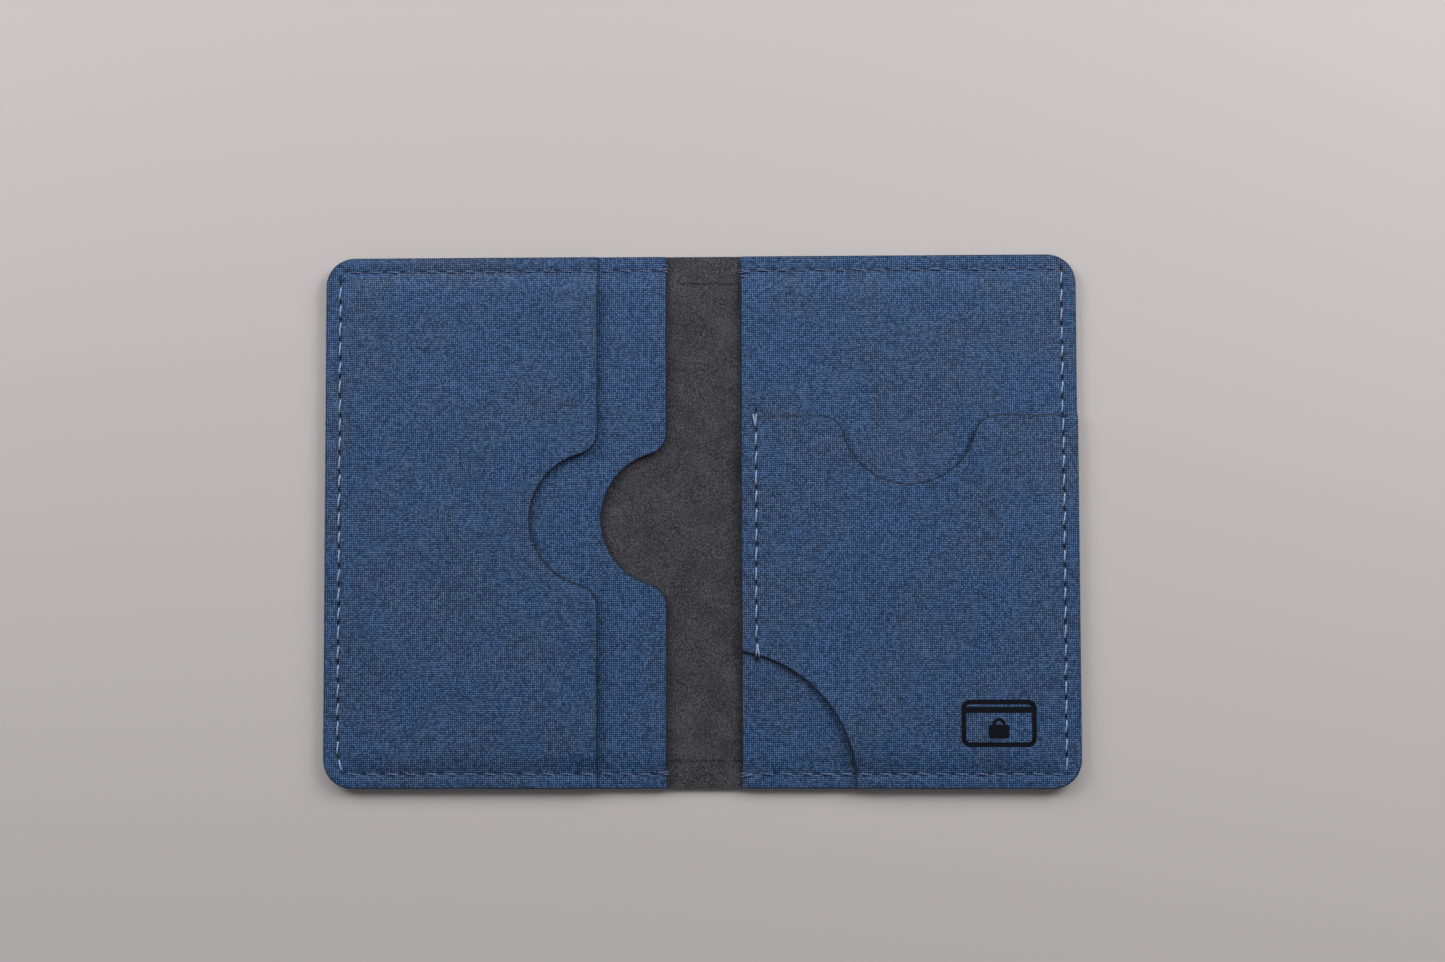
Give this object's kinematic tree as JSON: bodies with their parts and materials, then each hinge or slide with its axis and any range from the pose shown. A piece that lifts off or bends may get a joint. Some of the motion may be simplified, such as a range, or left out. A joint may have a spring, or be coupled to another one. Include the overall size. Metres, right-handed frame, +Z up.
{
  "type": "passport holder",
  "caption": "Soft folding passport holder, shown open: passport sleeves with thumb notches on both covers, a card pocket and a stitched edge.",
  "frame": {"origin": "centre of the open holder's outer face, which lies on the table", "axes": "+X across both covers towards the right-hand one, +Y towards the top of the pages, +Z up out of the open inside"},
  "size_m": [0.1986, 0.14, 0.0032],
  "materials": {
    "cover_fabric": "blue linen-look coated fabric, matt with a soft sheen",
    "sleeve_fabric": "blue linen-look coated fabric, matt with a soft sheen, dark backing",
    "lining_suede": "charcoal suede-like nonwoven, matt",
    "shield_foil": "metallised foil",
    "needle_thread": "blue twisted polyester thread, slight sheen",
    "bobbin_thread": "blue twisted polyester thread, slight sheen",
    "print_ink": "near-black screen print, satin"
  },
  "bodies": {
    "left_cover": {"outer_cover_left": "cover_fabric", "shield_left": "shield_foil", "lining_left": "lining_suede", "left_rear_sleeve": "sleeve_fabric", "left_front_sleeve": "sleeve_fabric", "left_needle_thread": "needle_thread", "left_bobbin_thread": "bobbin_thread"},
    "spine": {"outer_cover_spine": "cover_fabric", "shield_spine": "shield_foil", "lining_spine": "lining_suede"},
    "right_cover": {"outer_cover_right": "cover_fabric", "shield_right": "shield_foil", "lining_right": "lining_suede", "right_sleeve": "sleeve_fabric", "card_pocket": "sleeve_fabric", "right_needle_thread": "needle_thread", "right_bobbin_thread": "bobbin_thread", "pocket_needle_thread": "needle_thread", "pocket_bobbin_thread": "bobbin_thread", "printed_mark": "print_ink"}
  },
  "joints": [
    {"name": "spine_fold", "type": "hinge", "parent": "left_cover", "child": "spine", "pos_m": [-0.0028, 0, 0.0008], "axis": [0, -1, 0], "range_deg": [0, 90]},
    {"name": "cover_fold", "type": "hinge", "parent": "spine", "child": "right_cover", "pos_m": [0.0028, 0, 0.0008], "axis": [0, -1, 0], "range_deg": [0, 90]}
  ],
  "couplings": [
    {"joint": "cover_fold", "follows": "spine_fold", "ratio": 1}
  ]
}
